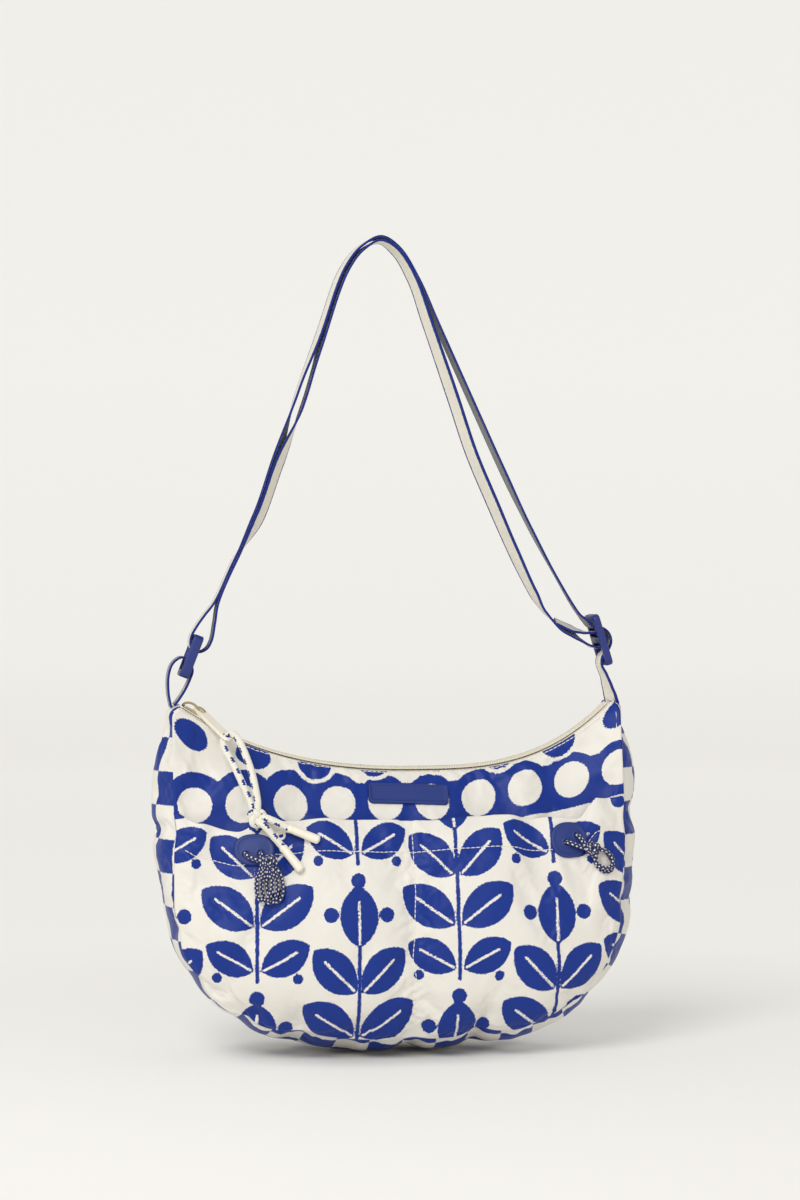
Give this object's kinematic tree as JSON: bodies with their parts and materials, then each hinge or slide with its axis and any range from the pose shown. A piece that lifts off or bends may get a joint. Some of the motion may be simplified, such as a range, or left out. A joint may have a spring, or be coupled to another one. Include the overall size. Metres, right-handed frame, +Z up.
{
  "type": "crescent shoulder bag",
  "caption": "Crescent nylon shoulder bag in blue and cream with a checked gusset, a gathered front pocket, a zipped top and a doubled webbing strap.",
  "frame": {"origin": "The underside of the strap's top, where a hook or a shoulder carries the bag.", "axes": "+X to the right of the bag seen from the front, +Y to the back, +Z up."},
  "size_m": [0.336, 0.1176, 0.5661],
  "materials": {
    "front_nylon": "satin nylon, a blue band with cream dots and blue dots on cream",
    "check_nylon": "satin nylon, blue and cream checks",
    "leaf_nylon": "satin nylon, blue leaf sprigs on cream",
    "zip_tape": "woven tape",
    "zip_coil": "satin nylon coil",
    "slider_brass": "pale satin brass",
    "bone_plastic": "matte bone-coloured plastic",
    "flecked_rope": "braided rope, cream with blue flecks",
    "blue_rubber": "matte moulded rubber",
    "navy_cord": "braided cord, navy with pale flecks",
    "webbing": "woven webbing, cream with blue edges",
    "blue_plastic": "satin moulded plastic"
  },
  "bodies": {
    "root": {"front_panel": "front_nylon", "back_panel": "leaf_nylon", "gusset": "check_nylon", "pocket": "leaf_nylon", "zip_tape_front": "zip_tape", "zip_tape_back": "zip_tape", "zip_coil": "zip_coil", "zip_slider": "slider_brass", "pull_tab": "bone_plastic", "pull_rope": "flecked_rope", "rope_sleeve_low": "bone_plastic", "rope_sleeve_high": "bone_plastic", "badge": "blue_rubber", "cord_tab_left": "blue_rubber", "cord_tab_right": "blue_rubber", "drawcord_left": "navy_cord", "drawcord_right": "navy_cord", "hem_eyelet": "bone_plastic", "strap": "webbing", "anchor_loop": "webbing", "strap_ring": "blue_plastic", "strap_slider": "blue_plastic"}
  },
  "joints": []
}
